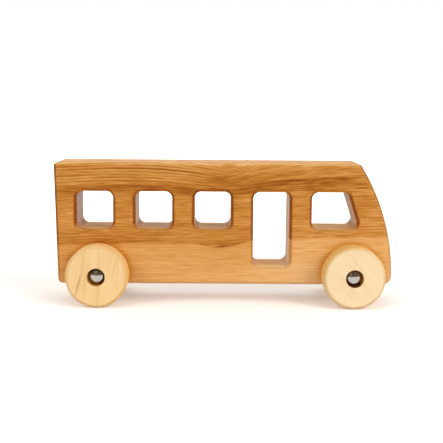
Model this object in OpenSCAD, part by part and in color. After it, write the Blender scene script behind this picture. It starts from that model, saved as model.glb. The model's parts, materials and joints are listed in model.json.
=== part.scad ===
// Wooden push-along bus: one block of solid wood with routed windows and a door, on four turned
// wheels that run loose on two steel axles, each wheel held by a push-on domed cap.
// Frame: +X to the nose, +Y to the bus's left, +Z up, origin on the floor under the middle.

/* [Block] */
// Length of the block from the rear end of the roof to the nose
body_length = 275.6; // [266:0.2:300]
// Height of the block from underside to roof
body_height = 99.4; // [95:0.2:110]
// Thickness of the plank that the block is cut from
body_thickness = 45; // [36:1:60]
// Radius of the curved nose, seen from the side
nose_radius = 172; // [165:1:210]
// Height above the underside at which the curved nose stands upright
nose_rise = 6; // [3:0.5:12]
// How far the rear end comes forward between roof and underside
rear_lean = 2.6; // [0.5:0.1:6]
// Roundover along the outer edges of both sides
edge_round = 3.2; // [1.5:0.1:4.5]
// Corner rounding at both ends of the rear face
rear_corner = 4; // [2:0.5:6]
// Corner rounding under the nose
nose_corner = 8; // [3:0.5:9]
// Corner rounding where the nose meets the roof
roof_corner = 5; // [3:0.5:8]

/* [Windows and door] */
// Number of windows behind the door
window_count = 3; // [1:1:3]
// Width of a window behind the door
window_width = 29.8; // [24:0.1:31]
// Height of every window
window_height = 30.2; // [24:0.2:36]
// Width of the pillars between neighbouring openings
pillar_width = 18.1; // [14:0.1:19]
// Wall between the rear end and the first window
rear_wall = 18; // [12:0.1:20]
// Height of the band above all openings
head_band = 23.7; // [16:0.1:28]
// Width of the door
door_width = 29.6; // [24:0.1:32]
// Height of the door
door_height = 61.4; // [50:0.2:66]
// Width of the front window along its top
front_window_width = 29.1; // [22:0.1:32]
// How much farther forward the front window reaches at its sill
front_window_slant = 10; // [6:0.5:13]
// Corner radius of all openings
opening_corner = 6; // [4:0.5:8]
// Roundover along the edges of all openings
opening_round = 3.2; // [1:0.1:4]

/* [Wheels] */
// Diameter of the wheels
wheel_diameter = 50; // [42:1:60]
// Width of the wheels
wheel_width = 20; // [17:0.5:26]
// Rounding of the tread's edges
wheel_round = 3.5; // [1.5:0.25:5]
// Distance between the two axles
wheelbase = 206; // [190:1:222]
// Distance from the rear end of the roof to the rear axle
rear_overhang = 36.3; // [28:0.1:44]
// Height of the axles above the block's underside
axle_height = 9; // [7:0.5:13]
// Diameter of the recess that the cap sits in
recess_diameter = 14; // [13:0.5:18]
// Depth of the recess from the wheel's face
recess_depth = 7.5; // [6:0.5:10]
// Rounding of the recess's mouth
recess_round = 0.4; // [0.2:0.1:1.5]

/* [Axles and caps] */
// Diameter of the axle rods
axle_diameter = 5; // [4:0.25:6]
// Chamfer on the axle ends
axle_chamfer = 0.5; // [0.2:0.1:0.8]
// Outer diameter of a cap
cap_diameter = 10.25; // [9.5:0.25:12]
// Height of a cap's straight skirt
cap_skirt = 3.1; // [2.4:0.1:3.6]
// Radius of a cap's dome
cap_dome_radius = 18; // [12:0.5:24]
// Thickness of the cap's sheet metal
cap_sheet = 0.5; // [0.3:0.05:0.6]
// Width of the lip that is rolled in under the grip ring
cap_lip = 0.6; // [0.4:0.05:0.8]
// Thickness of the grip ring's spring steel
grip_sheet = 0.4; // [0.3:0.05:0.6]
// Number of teeth in a grip ring
tooth_count = 6; // [4:1:8]
// Length of a tooth, measured along the radius
tooth_length = 1; // [0.7:0.1:1.2]
// How far the teeth rise towards the dome
tooth_rise = 0.7; // [0.3:0.1:1]
// Width of the slots between the teeth
tooth_slot = 0.8; // [0.5:0.1:1]

/* [Fits] */
// Room all round an axle in the block and in the wheels
axle_clearance = 0.3; // [0.2:0.05:0.5]
// Gap between a wheel and the block's side
wheel_gap = 0.6; // [0.4:0.1:1.5]
// Gap between a cap and the floor of its recess
cap_gap = 0.3; // [0.2:0.05:0.6]
// Room round the grip ring inside the cap
ring_clearance = 0.1; // [0.05:0.05:0.2]
// How far the teeth bite into the axle
tooth_bite = 0.05; // [0.02:0.01:0.1]

/* [Hidden] */
$fn = 96;

// Cuts run past the surfaces that they open
overrun = 4;
// Angle at which routed and sanded rounds meet the faces beside them
meet_angle = 10;

// Levels and ends of the block
wheel_radius = wheel_diameter / 2;
axle_z = wheel_radius;
underside_z = axle_z - axle_height;
roof_z = underside_z + body_height;
nose_x = body_length / 2;
rear_x = -nose_x;
half_body = body_thickness / 2;
lean_angle = atan(rear_lean / body_height);
reach = body_length + nose_radius;

// The nose is an arc that stands upright a little above the underside
nose_centre_x = nose_x - nose_radius;
nose_centre_z = underside_z + nose_rise;

// Level of the top of all openings
head_z = roof_z - head_band;

// Places of the openings along the block
first_window_x = rear_x + rear_wall;
window_pitch = window_width + pillar_width;
door_x = first_window_x + window_count * window_pitch;
front_window_x = door_x + door_width + pillar_width;

// Places of the wheels
rear_axle_x = rear_x + rear_overhang;
front_axle_x = rear_axle_x + wheelbase;
wheel_y = half_body + wheel_gap;
bore_diameter = axle_diameter + 2 * axle_clearance;
hub_web = wheel_width - recess_depth;

// Places of the caps, measured from the lip outwards
cap_y = wheel_y + hub_web + cap_gap;
cap_radius = cap_diameter / 2;
cap_inner_radius = cap_radius - cap_sheet;
dome_centre = cap_skirt - sqrt(pow(cap_dome_radius, 2) - pow(cap_radius, 2));
dome_inner_radius = cap_dome_radius - cap_sheet;
axle_radius = axle_diameter / 2;
// The rod's end stops below the dome by the thickness of the cap's sheet
axle_end_y = cap_y + dome_centre + sqrt(pow(dome_inner_radius, 2) - pow(axle_radius, 2)) - cap_sheet;

// Distance of a corner's centre from the walls of an opening beside it
corner_inset = opening_corner * cos(meet_angle);

// A round that starts at a given distance from an edge: how deep its centre lies, and its radius
function round_depth(round) = round / (1 - tan(meet_angle));
function round_radius(round) = round_depth(round) / cos(meet_angle);

// A point on a circle about the origin of the side view
function on_circle(radius, angle) = [radius * cos(angle), radius * sin(angle)];

// Where an arc about the nose's centre reaches a level, and its angle there
function nose_arc_x(radius, z) = nose_centre_x + sqrt(pow(radius, 2) - pow(z - nose_centre_z, 2));
function nose_arc_angle(radius, z) = asin((z - nose_centre_z) / radius);

// Turns a side view (x, z) into a solid that runs from side to side
module across(width) {
    rotate([90, 0, 0])
        linear_extrude(width, center = true)
            children();
}

// What a router takes off an edge at the origin, with the material to the lower left
module edge_waste(round) {
    depth = round_depth(round);
    difference() {
        translate([-depth, -depth])
            square(depth + overrun);
        translate([-depth, -depth])
            circle(round_radius(round));
    }
}

// Section of the plank with its four edges routed, about its middle
module routed_section(width, height) {
    difference() {
        square([width, height], center = true);
        for (x = [0, 1], y = [0, 1])
            mirror([x, 0])
                mirror([0, y])
                    translate([width / 2, height / 2])
                        edge_waste(edge_round);
    }
}

// The plank between its roof and underside
module roof_and_underside() {
    translate([-reach / 2, 0, underside_z + body_height / 2])
        rotate([90, 0, 90])
            linear_extrude(reach)
                routed_section(body_thickness, body_height);
}

// The plank in front of the leaning rear face
module rear_face() {
    translate([rear_x, 0, roof_z])
        rotate([0, -lean_angle, 0])
            translate([reach / 2, 0, -reach / 2])
                linear_extrude(reach)
                    routed_section(reach, body_thickness);
}

// The plank behind the curved nose, as a disc about the nose's centre
module nose_disc() {
    translate([nose_centre_x, 0, nose_centre_z])
        rotate([90, 0, 0])
            rotate_extrude()
                intersection() {
                    routed_section(2 * nose_radius, body_thickness);
                    translate([0, -half_body])
                        square([nose_radius, body_thickness]);
                }
}

// What is taken off a corner of the side view, outside an arc between two directions
module corner_trim(centre, round, from_angle, to_angle) {
    far = 2 * round + overrun;
    across(body_thickness + 2 * overrun)
        translate(centre)
            difference() {
                polygon([
                    [0, 0],
                    on_circle(far, from_angle),
                    on_circle(far / cos((to_angle - from_angle) / 2), (from_angle + to_angle) / 2),
                    on_circle(far, to_angle)
                ]);
                circle(round_radius(round));
            }
}

module corner_trims() {
    rear_depth = round_depth(rear_corner);
    nose_depth = round_depth(nose_corner);
    roof_depth = round_depth(roof_corner);
    roof_corner_z = roof_z - roof_depth;
    roof_corner_arc = nose_radius - roof_depth;
    corner_trim([rear_x + rear_depth, roof_z - rear_depth], rear_corner, 90, 180);
    corner_trim([rear_x + rear_lean + rear_depth, underside_z + rear_depth], rear_corner, 180, 270);
    corner_trim([nose_x - nose_depth, underside_z + nose_depth], nose_corner, 270, 360);
    corner_trim(
        [nose_arc_x(roof_corner_arc, roof_corner_z), roof_corner_z], roof_corner,
        nose_arc_angle(roof_corner_arc, roof_corner_z), 90
    );
}

// Section of the hollow beside an edge of an opening: the wall stands at zero, with material to its
// right, and both its edges are routed
module jamb_section(depth) {
    translate([-depth, -half_body - overrun])
        square([depth, body_thickness + 2 * overrun]);
    for (side = [0, 1])
        mirror([0, side])
            translate([0, half_body])
                mirror([1, 0])
                    edge_waste(opening_round);
}

// Direction from one point to the next, and the direction to its left
function heading(from, to) = (to - from) / norm(to - from);
function left_of(direction) = [-direction.y, direction.x];

// Centre of the round corner of an outline at a point between its neighbours
function corner_centre(before, here, after) =
    let (a = left_of(heading(before, here)), b = left_of(heading(here, after)))
        here + corner_inset * (a + b) / (1 + a * b);

// The hollow of a round corner, turned about its centre
module corner_spool(centre) {
    translate([centre.x, 0, centre.y])
        rotate([90, 0, 0])
            rotate_extrude()
                translate([opening_corner, 0])
                    jamb_section(opening_corner);
}

// The hollow along a straight edge from one corner's centre to the next
module edge_hollow(from, to) {
    run = to - from;
    translate([from.x, 0, from.y])
        rotate([0, -atan2(run.y, run.x), 0])
            rotate([90, 0, 90])
                linear_extrude(norm(run))
                    rotate(-90)
                        translate([corner_inset, 0])
                            jamb_section(2 * corner_inset);
}

// An opening with round corners and routed edges, given its corners anticlockwise in the side view
module opening(points) {
    count = len(points);
    centres = [
        for (i = [0 : count - 1])
            corner_centre(points[(i + count - 1) % count], points[i], points[(i + 1) % count])
    ];
    across(body_thickness + 2 * overrun)
        polygon(centres);
    for (i = [0 : count - 1]) {
        edge_hollow(centres[i], centres[(i + 1) % count]);
        corner_spool(centres[i]);
    }
}

// Corners of an opening below the head band, whose sill may reach farther forward than its head
function below_head(left_x, width, height, slant = 0) = [
    [left_x, head_z - height],
    [left_x + width + slant, head_z - height],
    [left_x + width, head_z],
    [left_x, head_z]
];

// A hole drilled from side to side for an axle
module axle_bore(x) {
    translate([x, 0, axle_z])
        rotate([90, 0, 0])
            cylinder(h = body_thickness + 2 * overrun, d = bore_diameter, center = true);
}

module bus_body() {
    color("peru")
        difference() {
            intersection() {
                roof_and_underside();
                rear_face();
                nose_disc();
            }
            corner_trims();
            for (i = [0 : window_count - 1])
                opening(below_head(first_window_x + i * window_pitch, window_width, window_height));
            opening(below_head(door_x, door_width, door_height));
            opening(below_head(front_window_x, front_window_width, window_height, front_window_slant));
            axle_bore(front_axle_x);
            axle_bore(rear_axle_x);
        }
}

// Sets a piece that was turned about the Z axis on an axle's left end, or mirrored on its right end
module on_axle(x, y, left) {
    mirror([0, left ? 0 : 1, 0])
        translate([x, y, axle_z])
            rotate([-90, 0, 0])
                children();
}

// A plain rod with chamfered ends
module axle(x) {
    color("lightslategray")
        for (left = [true, false])
            on_axle(x, 0, left)
                rotate_extrude()
                    polygon([
                        [0, 0],
                        [axle_radius, 0],
                        [axle_radius, axle_end_y - axle_chamfer],
                        [axle_radius - axle_chamfer, axle_end_y],
                        [0, axle_end_y]
                    ]);
}

// Half of a wheel's section: a rim with rounded edges round a web that is bored for the axle
module wheel_section() {
    recess_radius = recess_diameter / 2;
    rim_inner = recess_radius + recess_round;
    rim_outer = wheel_radius - wheel_round;
    bore_radius = bore_diameter / 2;
    translate([bore_radius, 0])
        square([rim_outer - bore_radius, hub_web]);
    translate([recess_radius, 0])
        square([rim_outer - recess_radius, wheel_width - recess_round]);
    translate([rim_inner, 0])
        square([rim_outer - rim_inner, wheel_width]);
    translate([rim_inner, wheel_round])
        square([wheel_radius - rim_inner, wheel_width - 2 * wheel_round]);
    translate([rim_inner, wheel_width - recess_round])
        circle(recess_round);
    for (y = [wheel_round, wheel_width - wheel_round])
        translate([rim_outer, y])
            circle(wheel_round);
}

module wheel(x, left, tone) {
    color(tone)
        on_axle(x, wheel_y, left)
            rotate_extrude()
                wheel_section();
}

// The room under a dome of the given sphere, out to the given radius
module dome_section(radius, sphere_radius) {
    intersection() {
        translate([0, dome_centre])
            circle(sphere_radius);
        square([radius, cap_dome_radius]);
    }
}

// A domed cap pressed from sheet, with its lip rolled in under the grip ring
module cap(x, left) {
    color("silver")
        on_axle(x, cap_y, left)
            rotate_extrude() {
                difference() {
                    dome_section(cap_radius, cap_dome_radius);
                    dome_section(cap_inner_radius, dome_inner_radius);
                }
                translate([cap_inner_radius - cap_lip, 0])
                    square([cap_lip + cap_sheet, cap_sheet]);
            }
}

// A spring-steel ring that lies on the cap's lip, with teeth that bite the axle
module grip_ring(x, left) {
    outer_radius = cap_inner_radius - ring_clearance;
    root_radius = axle_radius + tooth_length;
    tip_radius = axle_radius - tooth_bite;
    slot_end = root_radius + tooth_slot / 2;
    low = cap_sheet;
    color("dimgray")
        on_axle(x, cap_y, left)
            difference() {
                rotate_extrude()
                    polygon([
                        [outer_radius, low],
                        [outer_radius, low + grip_sheet],
                        [root_radius, low + grip_sheet],
                        [tip_radius, low + grip_sheet + tooth_rise],
                        [tip_radius, low + tooth_rise],
                        [root_radius, low]
                    ]);
                for (i = [0 : tooth_count - 1])
                    rotate(360 * i / tooth_count)
                        translate([0, -tooth_slot / 2, 0])
                            cube([slot_end, tooth_slot, cap_dome_radius]);
            }
}

rear_wheel_tone = "burlywood";
front_wheel_tone = "wheat";

bus_body();
axle(front_axle_x);  // front_axle
axle(rear_axle_x);  // rear_axle
wheel(front_axle_x, true, front_wheel_tone);  // front_left_wheel
wheel(front_axle_x, false, front_wheel_tone);  // front_right_wheel
wheel(rear_axle_x, true, rear_wheel_tone);  // rear_left_wheel
wheel(rear_axle_x, false, rear_wheel_tone);  // rear_right_wheel
cap(front_axle_x, true);  // front_left_cap
cap(front_axle_x, false);  // front_right_cap
cap(rear_axle_x, true);  // rear_left_cap
cap(rear_axle_x, false);  // rear_right_cap
grip_ring(front_axle_x, true);  // front_left_grip_ring
grip_ring(front_axle_x, false);  // front_right_grip_ring
grip_ring(rear_axle_x, true);  // rear_left_grip_ring
grip_ring(rear_axle_x, false);  // rear_right_grip_ring
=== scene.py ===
# %% [markdown]
# # A wooden push-along bus
#
# The bus is one block of oiled hardwood on four pale turned wheels. Its shapes come ready from the
# CAD frame, so this lesson is about looks: how the light falls, how the camera stands, and above all
# how wood is told to a renderer. Wood is not a picture glued to a surface. It is a solid with growth
# rings, and every saw cut shows another slice of them, so the wood here is a formula in three
# dimensions.

import json
import math

import bpy
from mathutils import Matrix, Vector

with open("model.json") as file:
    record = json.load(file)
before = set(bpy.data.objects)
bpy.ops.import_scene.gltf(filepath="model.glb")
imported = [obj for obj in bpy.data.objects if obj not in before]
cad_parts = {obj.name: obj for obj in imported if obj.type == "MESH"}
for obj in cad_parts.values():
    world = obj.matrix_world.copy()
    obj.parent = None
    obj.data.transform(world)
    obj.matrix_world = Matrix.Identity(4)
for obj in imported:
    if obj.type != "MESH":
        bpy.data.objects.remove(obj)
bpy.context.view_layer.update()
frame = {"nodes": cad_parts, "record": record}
nodes = frame["nodes"]
print("pieces of the bus:", len(nodes))

# %% [markdown]
# ## Camera
#
# The camera stands three quarters of a metre from the side of the bus, a little above roof height,
# and looks slightly down. Its three directions are worked out from two small turns and a tilt, and
# set straight into its matrix. An aim-at constraint would be quicker, but could not hold the tilt.

# %% Set up the camera
MM = 0.001
camera_place = Vector((-5.64, -750.5, 162.3)) * MM
camera_yaw = math.radians(0.296)
camera_pitch = math.radians(7.389)
camera_roll = math.radians(0.424)
camera_lens = 73.6

forward = Vector((
    math.sin(camera_yaw) * math.cos(camera_pitch),
    math.cos(camera_yaw) * math.cos(camera_pitch),
    -math.sin(camera_pitch),
))
level_right = Vector((math.cos(camera_yaw), -math.sin(camera_yaw), 0))
level_up = level_right.cross(forward)
right = math.cos(camera_roll) * level_right + math.sin(camera_roll) * level_up
up = math.cos(camera_roll) * level_up - math.sin(camera_roll) * level_right

camera_data = bpy.data.cameras.new("studio_camera")
camera_data.lens = camera_lens
camera = bpy.data.objects.new("studio_camera", camera_data)
camera_turn = Matrix((right, up, -forward)).transposed().to_4x4()
camera.matrix_world = Matrix.Translation(camera_place) @ camera_turn
bpy.context.scene.collection.objects.link(camera)
bpy.context.scene.camera = camera
print("camera is", round(camera_place.length, 3), "m from the bus")

# %% [markdown]
# ## Nodes as arithmetic
#
# Shader nodes are sums drawn as boxes. A formula of thirty boxes is hard to read, so a small class
# lets the same boxes be written as ordinary arithmetic: each `Field` is the output of a node, a
# number that varies from point to point, and adding two fields makes an Add node.

# %% A field is a number that varies over the surface
class Field:
    def __init__(self, tree, socket):
        self.tree = tree
        self.socket = socket

    def plug(self, place, value):
        if isinstance(value, Field):
            self.tree.links.new(value.socket, place)
        else:
            place.default_value = value

    def sum_with(self, operation, *values):
        node = self.tree.nodes.new("ShaderNodeMath")
        node.operation = operation
        for place, value in zip(node.inputs, values):
            self.plug(place, value)
        return Field(self.tree, node.outputs[0])

    def __add__(self, other):
        return self.sum_with("ADD", self, other)

    def __sub__(self, other):
        return self.sum_with("SUBTRACT", self, other)

    def __rsub__(self, other):
        return self.sum_with("SUBTRACT", other, self)

    def __mul__(self, other):
        return self.sum_with("MULTIPLY", self, other)

    def __truediv__(self, other):
        return self.sum_with("DIVIDE", self, other)

    __radd__ = __add__
    __rmul__ = __mul__


print("fields can be added, subtracted, multiplied and divided")


# %% Curves of one field
def size_of(field):
    return field.sum_with("ABSOLUTE", field)


def bell(field):
    """One at zero, fading to nothing on both sides by about two."""
    return field.sum_with("EXPONENT", -1 * (field * field))


def peak(field):
    """One at zero, falling away on both sides with a sharper top than a bell."""
    return field.sum_with("EXPONENT", -1 * field.sum_with("POWER", size_of(field), 1.4))


def distance(a, b):
    return a.sum_with("SQRT", a * a + b * b)


def step_up(field, start, end):
    """A soft step from zero at start to one at end."""
    node = field.tree.nodes.new("ShaderNodeMapRange")
    node.interpolation_type = "SMOOTHSTEP"
    field.plug(node.inputs["Value"], field)
    node.inputs["From Min"].default_value = start
    node.inputs["From Max"].default_value = end
    return Field(field.tree, node.outputs["Result"])


def step_down(field, start, end):
    """A soft step from one at start to zero at end."""
    return 1 - step_up(field, start, end)


print("curves ready: bell, peak, step up and step down")


# %% Noise and colour
def noise(x, y, z, detail=2.0):
    """Soft noise between about -1 and 1, at a place in three dimensions."""
    place = x.tree.nodes.new("ShaderNodeCombineXYZ")
    for socket, value in zip(place.inputs, (x, y, z)):
        x.plug(socket, value)
    texture = x.tree.nodes.new("ShaderNodeTexNoise")
    texture.inputs["Scale"].default_value = 1.0
    texture.inputs["Detail"].default_value = detail
    x.tree.links.new(place.outputs[0], texture.inputs["Vector"])
    return 2 * Field(x.tree, texture.outputs["Fac"]) - 1


def colours(field, *stops):
    """A run of colours along a field, given as pairs of place and linear colour."""
    node = field.tree.nodes.new("ShaderNodeValToRGB")
    ramp = node.color_ramp
    while len(ramp.elements) < len(stops):
        ramp.elements.new(0.5)
    for element, (place, colour) in zip(ramp.elements, stops):
        element.position = place
        element.color = (*colour, 1)
    field.plug(node.inputs["Fac"], field)
    return Field(field.tree, node.outputs["Color"])


def blend(share, first, second, way="MIX"):
    """The first colour where the share is zero, the second where it is one."""
    node = share.tree.nodes.new("ShaderNodeMix")
    node.data_type = "RGBA"
    node.blend_type = way
    share.plug(node.inputs[0], share)
    for place, value in ((node.inputs[6], first), (node.inputs[7], second)):
        share.plug(place, value if isinstance(value, Field) else (*value, 1))
    return Field(share.tree, node.outputs[2])


def stain(share, colour, tint):
    """A colour that is multiplied by a tint where the share is one."""
    return blend(share, colour, tint, "MULTIPLY")


print("noise, colour runs, blends and stains ready")


# %% Places and directions in a material
def new_finish(name):
    """A fresh material, its shader, and each surface point's place (in mm) and direction."""
    material = bpy.data.materials.new(name)
    material.use_nodes = True
    tree = material.node_tree
    shader = tree.nodes["Principled BSDF"]
    coordinates = tree.nodes.new("ShaderNodeTexCoord")
    found = []
    for output in ("Object", "Normal"):
        split = tree.nodes.new("ShaderNodeSeparateXYZ")
        tree.links.new(coordinates.outputs[output], split.inputs[0])
        found.append([Field(tree, socket) for socket in split.outputs])
    place = [axis / MM for axis in found[0]]
    return material, shader, place, found[1]


def finish_with(shader, colour, roughness, relief, relief_depth):
    """Links colour, roughness and a bump made from a relief field (depth in mm) to a shader."""
    tree = colour.tree
    tree.links.new(colour.socket, shader.inputs["Base Color"])
    tree.links.new(roughness.socket, shader.inputs["Roughness"])
    bump = tree.nodes.new("ShaderNodeBump")
    bump.inputs["Distance"].default_value = relief_depth * MM
    tree.links.new(relief.socket, bump.inputs["Height"])
    tree.links.new(bump.outputs["Normal"], shader.inputs["Normal"])


print("finishes are measured in mm, one mm being", MM, "m")

# %% [markdown]
# ## How the grain lies in the block
#
# The block was sawn with the heart of the tree above it, so the growth rings run along the bus as
# nearly level lines: darker heartwood in the upper part, paler sapwood below. Above the third window
# the rings dip into a shallow valley, the trace of a branch, and low down they run almost straight. A
# plain wave texture would give even stripes, so the height that each ring would have in
# straight-grained wood is worked out first, and all colours then follow that level.

# %% The level of the grain
SAPWOOD_LEVEL = 50.5
VALLEY_X, VALLEY_DEPTH = -1, 3.1


def valley_at(x):
    """One at the lowest point of the valley, falling away more slowly ahead of it than behind."""
    width = 32 + 28 * step_up(x, -8, 8)
    return peak((x - VALLEY_X) / width)


def climb_at(x):
    """How far the grain has climbed on its way out of the valley."""
    return 3.5 * step_up(x, -3, 35)


def lie_of_grain(x, y, z):
    """The height that each growth line would have if the grain ran straight."""
    bent = 0.15 + 0.85 * step_up(z, 82, 100)
    valley = valley_at(x) * (VALLEY_DEPTH + 0.08 * (z - SAPWOOD_LEVEL))
    droop = 1.4 * step_up(-1 * x, 90, 140)
    wander = 0.7 * noise(x / 60, y / 30, z / 22)
    ripple = 0.1 * noise(x / 17, y / 8, z / 5)
    return z + bent * (valley - climb_at(x)) - 0.015 * x + droop + wander + ripple


block_wood, block_shader, (x, y, z), (across_x, across_y, across_z) = new_finish("block_wood")
rearward, nearward = -1 * x, -1 * y
level = lie_of_grain(x, y, z)
print("the level of the grain takes", len(block_wood.node_tree.nodes), "nodes")

# %% [markdown]
# ## Growth lines
#
# Each year leaves a dark line of late wood and a pale band of early wood. They are circles about the
# heart, seen here as long lines because the heart lies far above the roof. A ring's number is a
# whole number, so it can also choose where along the bus that ring fades, as real rings do. One line
# at the upper rear is much bolder than the rest and is drawn on its own.

# %% Rings about a heart above the roof
HEART_LEVEL, HEART_Y = 190, 6
RING_WIDTH = 2.4
BOLDEST_RADIUS = 83.2


def growth_lines(from_boldest):
    """Dark late wood and the pale early wood beside it, both fading in and out along the bus."""
    ring = from_boldest / RING_WIDTH + 0.5
    number = ring.sum_with("FLOOR", ring)
    off_line = ring - number - 0.5
    fading = step_up(noise(x / 45, number * 3.7, y / 40, 1.0), -0.7, 0.3)
    return bell(off_line / 0.17) * fading, bell((off_line - 0.4) / 0.2) * fading


from_boldest = distance(HEART_LEVEL - level, y - HEART_Y) - BOLDEST_RADIUS
late_wood, early_wood = growth_lines(from_boldest)
boldest_line = bell(from_boldest / 0.6) - 0.5 * bell((from_boldest - 1.8) / 0.8)
boldest_line = boldest_line * (1 - 0.75 * step_up(rearward, 95, 130))
print("a growth line every", RING_WIDTH, "mm")

# %% [markdown]
# ## The heartwood's figure
#
# Between the rings, wood is full of streaks and pores that run along the grain. Each kind is noise
# stretched along the bus: the longer and thinner the stretch, the finer the streak. Darker zones over
# the windows, a dark line over the door and a stain in the valley are then laid over them. Every
# feature only raises or lowers one tone, and a single run of colours turns the tone into wood, which
# keeps all of them in one family.

# %% Streaks and pores, from coarse to fine
PORE_WIDTH = 0.55


def streaks_of(length, width, detail):
    """Noise stretched along the grain, with its length and width in mm."""
    return noise(x / length, y / width, level / width, detail)


broad_streaks = streaks_of(70, 5, 2.0)
long_streaks = streaks_of(60, 2.1, 3.0)
short_streaks = streaks_of(36, 0.7, 2.0)
pores = streaks_of(13, PORE_WIDTH, 1.0)
clouds = noise(x / 34, y / 16, level / 12, 1.0)
blotches = noise(x / 12, y / 8, level / 3, 1.0)
print("pores are", PORE_WIDTH, "mm wide")

# %% Darker and paler places
bold = step_up(level, 100.5, 103) * step_down(x, -45, 5)
zone_level = level + 2 * step_down(x, -20, 40)
dark_zone = step_up(zone_level, 88, 98.5) * step_down(zone_level, 100.0, 101.6)
dark_zone = dark_zone * (0.8 + 0.8 * clouds)
dark_zone = dark_zone * (1 - 0.5 * step_up(rearward, 85, 120))
dark_zone = dark_zone * (1 - 0.25 * step_up(x, 20, 60) - 0.45 * step_up(x, 98, 116))

dark_line = bell((level - 100.2) / 1.0) * step_up(x, 0, 50)
dark_line = dark_line * (0.65 + 0.7 * clouds + 0.9 * blotches)
dark_line = dark_line * (1 - 0.8 * step_up(x, 98, 114))

valley_stain = bell(x / 26) * bell((z - 101) / 6)
under_windows = step_down(level, 60, 68) * step_down(x, 20, 50) * (1 + 1.2 * bell(x / 20))
pale_front = step_up(x, 30, 60) * step_down(level, 60, 80)
print("with its darker places the wood takes", len(block_wood.node_tree.nodes), "nodes")

# %% Tone and colour of the heartwood
heart_tone = (
    0.625
    + 0.06 * bold
    - (0.08 + 0.27 * bold) * late_wood
    + (0.05 + 0.14 * bold) * early_wood
    - 0.34 * bold * boldest_line
    + 0.28 * broad_streaks
    + (0.18 + 0.16 * bold) * long_streaks
    + 0.33 * short_streaks
    + (0.60 - 0.18 * bold) * pores
    + 0.06 * clouds
    - 0.39 * dark_zone
    - 0.30 * dark_line
    - 0.27 * valley_stain
    - 0.045 * under_windows
    + 0.10 * pale_front
    - 0.05 * step_up(x, 85, 125)
)
HEARTWOOD = (
    (0.0, (0.25, 0.062, 0.004)),
    (0.3, (0.40, 0.125, 0.009)),
    (0.55, (0.545, 0.21, 0.029)),
    (0.8, (0.645, 0.29, 0.066)),
    (1.0, (0.74, 0.37, 0.11)),
)
heart_colour = colours(heart_tone, *HEARTWOOD)
print("colours in the heartwood's run:", len(HEARTWOOD))

# %% [markdown]
# ## The sapwood and its edge
#
# Sapwood is the living outer part of the trunk, paler and calmer than the heartwood. The change is a
# nearly level edge, little over a millimetre wide, that dips under the third window with the grain. It
# could be a second material on its own faces, but the edge runs across faces, so both woods are mixed
# inside one material. The edge is made a little ragged by the same streaks that colour the wood.

# %% Tone and colour of the sapwood
paler_ahead = step_up(x, 0, 80)
paler_below = step_down(z, 16, 44)
# The last term darkens the sapwood at the nose: painted shade that tempers the right lamp's light
# there.
sap_tone = (
    0.40
    - 0.12 * late_wood
    + 0.20 * broad_streaks
    + 0.24 * long_streaks
    + 0.30 * short_streaks
    + 0.48 * pores
    + 0.34 * paler_ahead
    + 0.24 * paler_below
    - 0.08 * step_up(x, 100, 130)
)
SAPWOOD = (
    (0.0, (0.58, 0.225, 0.042)),
    (0.5, (0.72, 0.35, 0.095)),
    (1.0, (0.82, 0.48, 0.20)),
)
sap_colour = colours(sap_tone, *SAPWOOD)
print("colours in the sapwood's run:", len(SAPWOOD))

# %% Where the sapwood begins
edge_dip = 0.84 * (VALLEY_DEPTH * valley_at(x) - climb_at(x))
edge_level = SAPWOOD_LEVEL + 1.2 * bell((x + 26) / 10)
edge_level = edge_level - 0.9 * bell((x + 4) / 14) + 1.2 * bell((x - 22) / 7) - edge_dip
above_edge = level - edge_level + 0.6 * short_streaks
is_sapwood = step_down(above_edge, -0.7, 0.7)
towards_rear = step_up(x, -138, -105)
wood_colour = blend((0.75 + 0.25 * towards_rear) * is_sapwood, heart_colour, sap_colour)
print("sapwood below a level of", SAPWOOD_LEVEL, "mm")

# %% [markdown]
# ## A dark streak
#
# Under the third window, a twig that the tree grew over has left a short dark streak with a thin tail
# towards the door. Two stretched bells, a core and a tail along one slightly rising line, give it soft
# ends. It fades out inside the block, so it shows on the near side only, as a twig's mark would.

# %% The streak's core and tail
TWIG_X, TWIG_Z = -1.2, 47.6
TWIG_COLOUR = (0.27, 0.07, 0.003)
streak_height = z - TWIG_Z - 0.14 * (x - TWIG_X)
streak_core = bell(distance((x - TWIG_X) / 4.5, streak_height / 1.1))
streak_tail = bell(distance((x - 7.5) / 9.5, streak_height / 0.8))
streak = (0.75 * streak_core + 0.6 * streak_tail) * step_up(nearward, 2, 20)
wood_colour = blend(streak, wood_colour, TWIG_COLOUR)
print("dark streak at", TWIG_X, "mm along and", TWIG_Z, "mm up")

# %% [markdown]
# ## End grain, and painted shade beside the wheels
#
# The two ends of the block show cut fibres, which drink oil like a bundle of straws and turn dark.
# Faces that look along the bus are found by their direction, so no face has to be picked by hand. On
# the block's sides a narrow ring round each wheel gets painted shade: the colour there is darkened to
# deepen the warm shade between wheel and block, which the large soft lamps alone would leave too
# pale. A stain multiplies the wood's own colour, so that the grain still shows through.

# %% Dark ends and rings of painted shade
REAR_AXLE_X, FRONT_AXLE_X, AXLE_Z, WHEEL_RADIUS = -101.5, 104.5, 25, 25
REAR_END, FRONT_END, PAINTED_WHEEL_SHADE = (0.50, 0.36, 0.22), (0.78, 0.72, 0.62), (0.93, 0.80, 0.42)
SHADE_START, SHADE_END = WHEEL_RADIUS + 0.5, WHEEL_RADIUS + 4.5

near_openings = step_up(z, 27, 29) * step_down(z, 96, 98)
near_openings = near_openings * step_up(x, -126, -124) * step_down(x, 114, 116)
rear_end = step_up(-1 * across_x, 0.05, 0.7) * step_down(x, -128, -124)
front_end = step_up(across_x, 0.15, 0.7) * step_up(x, 95, 105) * (1 - near_openings)
wood_colour = stain((0.9 - 0.3 * is_sapwood) * rear_end, wood_colour, REAR_END)
wood_colour = stain(front_end, wood_colour, FRONT_END)

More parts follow.
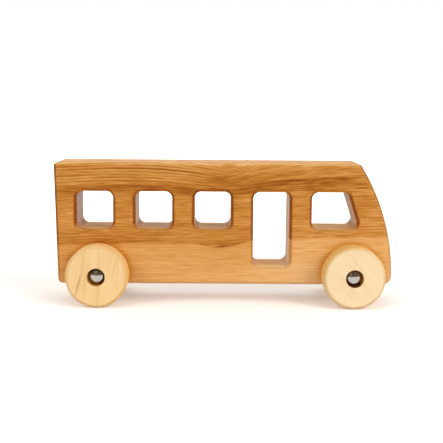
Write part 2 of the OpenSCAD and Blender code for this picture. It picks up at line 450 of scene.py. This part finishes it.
facing_side = size_of(across_y)
on_flat_side = step_up(facing_side, 0.9, 0.98)
# Painted shade: the flat sides are darkened in a ring round each wheel.
for axle_x in (REAR_AXLE_X, FRONT_AXLE_X):
    from_axle = distance(x - axle_x, z - AXLE_Z)
    painted_shade_beside_wheel = step_down(from_axle, SHADE_START, SHADE_END)
    wood_colour = stain(painted_shade_beside_wheel * on_flat_side, wood_colour, PAINTED_WHEEL_SHADE)
print("shaded rings reach", SHADE_END, "mm from the axles")

# %% [markdown]
# ## Routed edges and their painted shade
#
# The edges of the openings were rounded with a router. Their dark brown is painted shade, laid on as
# the rounds look in soft light, and lighter in the sapwood. The rounds are the faces that look neither
# straight to the side nor straight into the opening, and that is how they are found. The rounds under
# the heads of the openings are turned down to the table and get a painted warm light in place of its
# glow.

# %% Rounds darkened with painted shade
PAINTED_ROUND_SHADE, PAINTED_TABLE_LIGHT = (0.50, 0.24, 0.01), (1.2, 1.15, 0.4)

half_turned = step_up(facing_side, 0.02, 0.12) * step_down(facing_side, 0.75, 0.985)
overhead = step_up(-1 * across_z, 0.2, 0.8)
jambs = near_openings * step_up(size_of(across_x), 0.85, 0.97)
jamb_rims = jambs * step_up(nearward, 14.5, 19) * step_down(facing_side, 0.02, 0.12)
routed = half_turned * near_openings * step_down(across_z, 0.15, 0.6) * (1 - 0.95 * overhead)
routed = routed + 0.8 * jamb_rims
under_heads = half_turned * near_openings * overhead
# Painted shade on the rounds, and painted warm light on the rounds under the heads.
wood_colour = stain((0.9 - 0.5 * is_sapwood) * routed, wood_colour, PAINTED_ROUND_SHADE)
wood_colour = stain(under_heads, wood_colour, PAINTED_TABLE_LIGHT)
print("with its routed edges the wood takes", len(block_wood.node_tree.nodes), "nodes")

# %% [markdown]
# ## Roof, sills and jambs
#
# The roof's long round is painted paler than the sides, a painted highlight in place of a lamp's
# sheen.
# Inside the openings a sill is cut along the fibres and a jamb (an upright side) across them. Each
# gets a tint of its own that paints in light and reflection: paler at the back of a sill and warmer at
# its front, greyer on the sills' front rounds, bluer on jambs ahead and darker on those near the rear,
# with painted shade in the corners. One average tint would be simpler, but these faces catch the white
# sweep at very different angles. The tints are fitted as seen from the camera, so they are least true
# from behind.

# %% The roof and its painted edge highlight
ROOF, PAINTED_EDGE_HIGHLIGHT = (1.0, 1.07, 1.0), (1.14, 1.48, 2.5)
ROUND_START = 111.8
roof = step_up(z, 113, 115) * step_up(across_z, 0.8, 0.97)
roof_edge_highlight = step_up(z, ROUND_START, 113.2) * step_up(across_z, 0.1, 0.75)
roof_edge_highlight = roof_edge_highlight * step_down(across_z, 0.93, 0.99)
wood_colour = stain(roof, wood_colour, ROOF)
# Painted highlight: the roof's long round is tinted paler, as a lamp's sheen would make it.
wood_colour = stain(roof_edge_highlight, wood_colour, PAINTED_EDGE_HIGHLIGHT)
print("the roof's pale edge begins", ROUND_START, "mm above the table")

# %% Inside the openings: painted light, reflection and shade
SILL_EDGE, PAINTED_CORNER_SHADE = (0.88, 0.94, 1.15), (0.94, 0.85, 0.75)
FAR_SILL_HEART, FAR_SILL_SAP = (1.5, 1.95, 1.25), (1.28, 1.32, 0.86)
NEAR_SILL_HEART, NEAR_SILL_SAP = (1.09, 1.15, 0.25), (1.09, 1.26, 0.94)
FRONT_JAMB, REAR_JAMB = (0.90, 1.1, 1.4), (0.77, 0.85, 0.85)

sills = near_openings * step_up(across_z, 0.85, 0.97)
sill_edges = near_openings * step_up(across_z, 0.3, 0.6) - sills
corners = near_openings * step_up(size_of(across_x) * across_z, 0.2, 0.5)

far_sill = blend(is_sapwood, FAR_SILL_HEART, FAR_SILL_SAP)
near_sill = blend(is_sapwood, NEAR_SILL_HEART, NEAR_SILL_SAP)
sill_tint = blend(step_up(nearward, -6, 17), far_sill, near_sill)
jamb_tint = blend(step_up(rearward, 65, 110), FRONT_JAMB, REAR_JAMB)

# Painted light and reflection on the sills and jambs, and painted shade where they meet.
wood_colour = stain(sill_edges, wood_colour, SILL_EDGE)
wood_colour = stain(sills, wood_colour, sill_tint)
wood_colour = stain(jambs, wood_colour, jamb_tint)
wood_colour = stain(corners, wood_colour, PAINTED_CORNER_SHADE)
print("with its openings the wood takes", len(block_wood.node_tree.nodes), "nodes")

# %% [markdown]
# ## Sheen of the oiled block
#
# Oil leaves a low, silky sheen that breaks up along the pores. Roughness follows the same streaks as
# the colour, and is higher where the cut is rougher: on the routed rounds and the rear end. A very
# shallow bump, mostly from the pores, does the rest. A varnish coat would be simpler, but would look
# like plastic.

# %% Roughness and relief
WOOD_SPECULAR = 0.2
roughness = (
    0.46
    + 0.06 * pores
    + 0.05 * long_streaks
    + 0.54 * routed
    + (0.08 + 0.3 * long_streaks) * sills
    - 0.03 * jambs
    + 0.1 * corners
    + 0.06 * roof
    + 0.4 * rear_end
)
relief = 0.6 * pores + 0.4 * short_streaks - 0.3 * late_wood
finish_with(block_shader, wood_colour, roughness, relief, 0.08)
block_shader.inputs["Specular IOR Level"].default_value = WOOD_SPECULAR
print("block wood uses", len(block_wood.node_tree.nodes), "nodes")

# %% [markdown]
# ## The wheels' wood
#
# Wheels are turned from boards of a pale, close-grained wood, with the grain running straight across
# the face. So the fibres end in the tread at two opposite places and run along it between them, and
# each kind of place has its own tint: partly the grain, and partly painted shade that makes the tread
# darker and more orange; the rounded shoulder gets painted shade too. The drilled recess for the cap
# is darkened with painted shade, and one side of it gets painted light.
# The rear pair came from a straw-coloured board with a few pinkish streaks, the front pair from a
# creamier one. One function makes both, and the direction of the grain is its main setting.

# %% Tint and painted shade of the rim
PAINTED_SHOULDER_SHADE = (0.87, 0.83, 0.76)


def stain_rim(colour, across, cos, sin, sides, ends):
    """A tread with one tint where the fibres end in it and one between, both partly painted shade, and
    painted shade on its shoulder.
    """
    across_x, across_y, across_z = across
    facing_out = size_of(across_y)
    end_grain = step_up(size_of(sin * across_x + cos * across_z), 0.2, 0.8)
    on_tread = step_down(facing_out, 0.35, 0.99)
    on_shoulder = step_up(facing_out, 0.25, 0.6) * step_down(facing_out, 0.88, 0.995)
    # The tread's tints are partly grain and partly painted shade; the shoulder gets painted shade.
    colour = stain(on_tread, colour, blend(end_grain, sides, ends))
    return stain(on_shoulder, colour, PAINTED_SHOULDER_SHADE)


print("the tread fades into the wheel's face over its round")

# %% Colour of the recess
WHEEL_FACE_Y, RECESS_RADIUS = 43.1, 7
WALL_IN_SHADE, WALL_IN_LIGHT = (0.20, 0.04, 0.003), (0.72, 0.32, 0.025)
LIP_IN_SHADE, LIP_IN_LIGHT = (0.07, 0.012, 0.004), (0.28, 0.085, 0.006)


def recess(from_x, y, from_z, lit_side):
    """Where the wheel is drilled, and the colour in there: painted shade, with painted light on one
    side. The lit side is an angle in degrees.
    """
    lit_cos, lit_sin = math.cos(math.radians(lit_side)), math.sin(math.radians(lit_side))
    from_axle = distance(from_x, from_z)
    below_face = WHEEL_FACE_Y - size_of(y)
    drilled = step_down(from_axle, RECESS_RADIUS + 0.25, RECESS_RADIUS + 0.45)
    drilled = drilled * step_up(below_face, 0.02, 0.2)
    to_lit_side = (lit_cos * from_x + lit_sin * from_z) / from_axle
    # Painted light on the lit side of the recess, fading deeper in, and painted shade on the rest.
    lit_share = step_up(to_lit_side, -0.1, 0.7) * (1 - 0.35 * step_up(below_face, 3, 6))
    lip, wall = blend(lit_share, LIP_IN_SHADE, LIP_IN_LIGHT), blend(lit_share, WALL_IN_SHADE, WALL_IN_LIGHT)
    return drilled, blend(step_up(below_face, 0.6, 2.5), lip, wall)


print("recess radius in mm:", RECESS_RADIUS)


# %% Pale turned wood
def pale_wood(name, axle_x, lean, lit_side, board, rim_sides, rim_ends, mark_colour, marks):
    """Wood for one pair of wheels. Each mark is a streak: offset, slope, centre, length, strength."""
    material, shader, (x, y, z), across = new_finish(name)
    from_x, from_z = x - axle_x, z - AXLE_Z
    cos, sin = math.cos(math.radians(lean)), math.sin(math.radians(lean))
    along = sin * from_x + cos * from_z
    side = cos * from_x - sin * from_z
    wander = 0.8 * noise(along / 26, y / 18, side / 12)
    level = side + 0.35 * y + wander + 0.004 * (side * along)

    bands = noise(along / 50, y / 9, level / 5, 1.0)
    lines = noise(along / 34, y / 4, level / 1.5, 2.0)
    fibres = noise(along / 8, y / 0.7, level / 0.7, 2.0)
    tone = 0.55 + 0.25 * bands + 0.30 * lines + 0.24 * fibres
    colour = colours(tone, *zip((0.0, 0.5, 1.0), board))

    near_side = step_up(-1 * y, 0, 10)
    for offset, slope, centre, length, strength in marks:
        line = bell((side - offset - slope * along) / 0.85) * bell((along - centre) / length)
        colour = blend(strength * line * near_side, colour, mark_colour)

    colour = stain_rim(colour, across, cos, sin, rim_sides, rim_ends)
    drilled, drilled_colour = recess(from_x, y, from_z, lit_side)
    colour = blend(0.95 * drilled, colour, drilled_colour)
    roughness = 0.5 + 0.05 * fibres + 0.3 * drilled
    finish_with(shader, colour, roughness, 0.7 * fibres + 0.3 * lines, 0.05)
    shader.inputs["Specular IOR Level"].default_value = WOOD_SPECULAR
    print(name, "uses", len(material.node_tree.nodes), "nodes")
    return material


# %% The two boards
rear_wheel_wood = pale_wood(
    "rear_wheel_wood",
    axle_x=REAR_AXLE_X,
    lean=8,
    lit_side=230,
    board=((0.655, 0.36, 0.133), (0.85, 0.57, 0.268), (0.90, 0.66, 0.355)),
    rim_sides=(1.0, 0.92, 0.64),
    rim_ends=(1.03, 0.98, 0.85),
    mark_colour=(0.62, 0.28, 0.085),
    marks=(
        (-12.2, 0.125, -8, 9, 0.9),
        (1.9, -0.1, 0, 24, 0.3),
        (-12.0, 0.02, 13, 7, 0.25),
        (12.5, 0.1, 9, 10, 0.25),
    ),
)
front_wheel_wood = pale_wood(
    "front_wheel_wood",
    axle_x=FRONT_AXLE_X,
    lean=-40,
    lit_side=40,
    board=((0.77, 0.51, 0.25), (0.872, 0.658, 0.385), (0.90, 0.705, 0.45)),
    rim_sides=(0.93, 0.84, 0.64),
    rim_ends=(0.89, 0.71, 0.37),
    mark_colour=(0.74, 0.47, 0.22),
    marks=((9.0, 0.03, 2, 12, 0.25), (-12.0, 0.0, -6, 9, 0.2)),
)

# %% [markdown]
# ## Steel
#
# The caps are pressed from sheet and plated bright, the axle rods are drawn steel with faint lines
# round them, and the hidden grip rings are dark spring steel. Metal has little colour of its own:
# what matters is how sharply it mirrors the room, so its roughness varies with fine scratches.

# %% Three kinds of steel
def steel(name, colour, dull_colour, smooth, scratch_share):
    material, shader, (x, y, z), _ = new_finish(name)
    scratches = noise(x / 0.9, y / 0.25, z / 0.9, 3.0)
    patches = noise(x / 3, y / 3, z / 3, 2.0)
    shader.inputs["Metallic"].default_value = 1.0
    tint = blend(step_up(patches, -0.2, 0.8), colour, dull_colour)
    roughness = smooth + scratch_share * scratches + 0.03 * patches
    finish_with(shader, tint, roughness, scratches, 0.01)
    print(name, "uses", len(material.node_tree.nodes), "nodes")
    return material


cap_steel = steel("cap_steel", (0.48, 0.465, 0.43), (0.41, 0.40, 0.38), 0.12, 0.03)
axle_steel = steel("axle_steel", (0.6, 0.6, 0.61), (0.5, 0.5, 0.51), 0.32, 0.06)
grip_steel = steel("grip_steel", (0.34, 0.34, 0.36), (0.26, 0.25, 0.26), 0.38, 0.06)

# %% [markdown]
# ## Smooth rounds
#
# The frame's meshes come with their faces cut apart along every CAD edge, which would show as a hard
# line where a routed round meets a flat side. Welding the points together and letting large faces
# lead the shading makes the rounds flow into the sides, as sanding does. All of it is modifiers, so
# the frame's own points stay as they are.

# %% A node group that shades smooth
SHARP_ANGLE = math.radians(34)


def smooth_by_angle(name, angle):
    """A node group that shades smooth and keeps edges sharper than an angle."""
    group = bpy.data.node_groups.new(name, "GeometryNodeTree")
    for way in ("INPUT", "OUTPUT"):
        group.interface.new_socket("Geometry", in_out=way, socket_type="NodeSocketGeometry")
    start = group.nodes.new("NodeGroupInput")
    end = group.nodes.new("NodeGroupOutput")
    faces = group.nodes.new("GeometryNodeSetShadeSmooth")
    faces.domain = "FACE"
    edges = group.nodes.new("GeometryNodeSetShadeSmooth")
    edges.domain = "EDGE"
    edges.inputs["Shade Smooth"].default_value = False
    edge_angle = group.nodes.new("GeometryNodeInputMeshEdgeAngle")
    is_sharp = group.nodes.new("FunctionNodeCompare")
    is_sharp.operation = "GREATER_THAN"
    is_sharp.inputs[1].default_value = angle
    group.links.new(edge_angle.outputs["Unsigned Angle"], is_sharp.inputs[0])
    group.links.new(start.outputs[0], faces.inputs["Geometry"])
    group.links.new(faces.outputs["Geometry"], edges.inputs["Geometry"])
    group.links.new(is_sharp.outputs["Result"], edges.inputs["Selection"])
    group.links.new(edges.outputs["Geometry"], end.inputs[0])
    return group


soft_edges = smooth_by_angle("soft_edges", SHARP_ANGLE)
print("edges stay sharp above", round(math.degrees(SHARP_ANGLE)), "degrees")


# %% Weld, smooth and weight
def sand_smooth(piece):
    normals = piece.data.attributes.get("custom_normal")
    if normals:
        piece.data.attributes.remove(normals)
    weld = piece.modifiers.new("weld", "WELD")
    weld.merge_threshold = 1e-6
    shade = piece.modifiers.new("soft_edges", "NODES")
    shade.node_group = soft_edges
    weight = piece.modifiers.new("even_sides", "WEIGHTED_NORMAL")
    weight.keep_sharp = True
    weight.weight = 100


for piece in nodes.values():
    sand_smooth(piece)
print("sanded pieces:", len(nodes))

# %% [markdown]
# ## A finish for every piece
#
# The record that comes with the frame names a finish for every piece, so the finishes are handed out
# from its list. Naming the pieces here again would work too, but two lists can drift apart.

# %% Give every piece its finish
finishes = {
    "block_wood": block_wood,
    "rear_wheel_wood": rear_wheel_wood,
    "front_wheel_wood": front_wheel_wood,
    "axle_steel": axle_steel,
    "cap_steel": cap_steel,
    "grip_steel": grip_steel,
}
for subpart in frame["record"]["subparts"]:
    piece = nodes[subpart["node"]]
    piece.data.materials.clear()
    piece.data.materials.append(finishes[subpart["material_slot"]])

# %% [markdown]
# ## The room
#
# The bus stands in front of a white sweep, and the room behind the camera is dark. That shows only in
# the caps, which mirror the bright table below and a dim, warm, patchy room above it. An image of a
# real room would do this, but a world made of nodes needs no file: white on the far side, dark on the
# near side, with the patches for mirrors only, while the camera itself always sees white.

# %% World
ROOM_DARK, ROOM_DIM, ROOM_WARM = (0.04, 0.04, 0.04), (0.03, 0.018, 0.01), (0.60, 0.42, 0.25)
SWEEP, SWEEP_MIRRORED, WHITE = (0.65, 0.65, 0.65), (1.65, 1.65, 1.65), (1.0, 1.0, 1.0)

world = bpy.data.worlds.new("studio")
bpy.context.scene.world = world
world.use_nodes = True
tree = world.node_tree
tree.nodes.clear()
direction = tree.nodes.new("ShaderNodeTexCoord")
split = tree.nodes.new("ShaderNodeSeparateXYZ")
tree.links.new(direction.outputs["Generated"], split.inputs[0])
to_x, to_y, to_z = [Field(tree, socket) for socket in split.outputs]
path = tree.nodes.new("ShaderNodeLightPath")
mirrored = Field(tree, path.outputs["Is Glossy Ray"])

patches = step_up(noise(9 * to_x, 9 * to_y, 9 * to_z, 3.0), -0.25, 0.35)
near_half = blend(mirrored, ROOM_DARK, blend(patches, ROOM_DIM, ROOM_WARM))
far_half = blend(mirrored, SWEEP, SWEEP_MIRRORED)
room = blend(step_up(to_y, 0.0, 0.1), near_half, far_half)
seen = blend(Field(tree, path.outputs["Is Camera Ray"]), room, WHITE)
background = tree.nodes.new("ShaderNodeBackground")
tree.links.new(seen.socket, background.inputs["Color"])
output = tree.nodes.new("ShaderNodeOutputWorld")
tree.links.new(background.outputs[0], output.inputs[0])
print("the room uses", len(tree.nodes), "nodes")

# %% [markdown]
# ## Table
#
# The table is one large white face that ends a third of a metre in front of the bus, so that the caps
# mirror the dark room beyond its edge. Photographers light such a table from below to keep it white.
# Here a little glow does that, only where the camera, mirrors or glass look at it, and least near the
# bus, so that the bus keeps its soft shadow.

# %% The table's face
TABLE_HALF, TABLE_FRONT = 6.0, -0.37
table_mesh = bpy.data.meshes.new("table")
table_corners = [
    (-TABLE_HALF, TABLE_FRONT, 0),
    (TABLE_HALF, TABLE_FRONT, 0),
    (TABLE_HALF, TABLE_HALF, 0),
    (-TABLE_HALF, TABLE_HALF, 0),
]
table_mesh.from_pydata(table_corners, [], [(0, 1, 2, 3)])
table = bpy.data.objects.new("table", table_mesh)
bpy.context.scene.collection.objects.link(table)
print("table is", 2 * TABLE_HALF, "m wide")

# %% The table's white
table_white = bpy.data.materials.new("table_white")
table_white.use_nodes = True
tree = table_white.node_tree
table_shader = tree.nodes["Principled BSDF"]
table_shader.inputs["Base Color"].default_value = (0.86, 0.85, 0.835, 1)
table_shader.inputs["Roughness"].default_value = 0.6
table_shader.inputs["Specular IOR Level"].default_value = 0.2

path = tree.nodes.new("ShaderNodeLightPath")
seen = Field(tree, path.outputs["Is Camera Ray"]) + Field(tree, path.outputs["Is Glossy Ray"])
seen = seen + Field(tree, path.outputs["Is Transmission Ray"])
coordinates = tree.nodes.new("ShaderNodeTexCoord")
split = tree.nodes.new("ShaderNodeSeparateXYZ")
tree.links.new(coordinates.outputs["Object"], split.inputs[0])
table_x, table_y, _ = [Field(tree, socket) for socket in split.outputs]
far_away = step_up(distance(table_x, table_y), 0.2, 1.0)
glow = (0.28 + 0.9 * far_away) * seen
# Near the bus the glow is warm: painted light standing in for the light the wood throws into its
# shadow.
glow_colour = blend(far_away, (1.0, 0.9, 0.82), WHITE)
tree.links.new(glow.socket, table_shader.inputs["Emission Strength"])
tree.links.new(glow_colour.socket, table_shader.inputs["Emission Color"])
table_mesh.materials.append(table_white)
print("the table's white uses", len(tree.nodes), "nodes")

# %% [markdown]
# ## Lamps
#
# Three softboxes light the bus: the strongest from the right front, a weaker one from the left front
# that fills its shadows, and a weak one overhead for the roof. Their discs are over a metre wide,
# because the larger a lamp is, the softer its shadow. One sun lamp would draw hard shadows instead.

# %% Three softboxes
AIM = Vector((0, 0, 0.05))


def softbox(name, place, size, power):
    lamp = bpy.data.lights.new(name, "AREA")
    lamp.shape = "DISK"
    lamp.size = size
    lamp.energy = power
    holder = bpy.data.objects.new(name, lamp)
    holder.location = place
    holder.rotation_euler = (AIM - Vector(place)).to_track_quat("-Z", "Y").to_euler()
    bpy.context.scene.collection.objects.link(holder)
    print(name, "gives", power, "W")


softbox("right_softbox", (1.39, -1.17, 1.05), 1.5, 31)
softbox("left_softbox", (-1.39, -1.17, 1.05), 1.5, 22.5)
softbox("top_softbox", (0.0, -0.1, 1.9), 1.2, 7.0)

# %% [markdown]
# ## Colours as written
#
# Colours are shown as they are written, without a film look.

# %% Show colours as written
bpy.context.scene.view_settings.view_transform = "Standard"
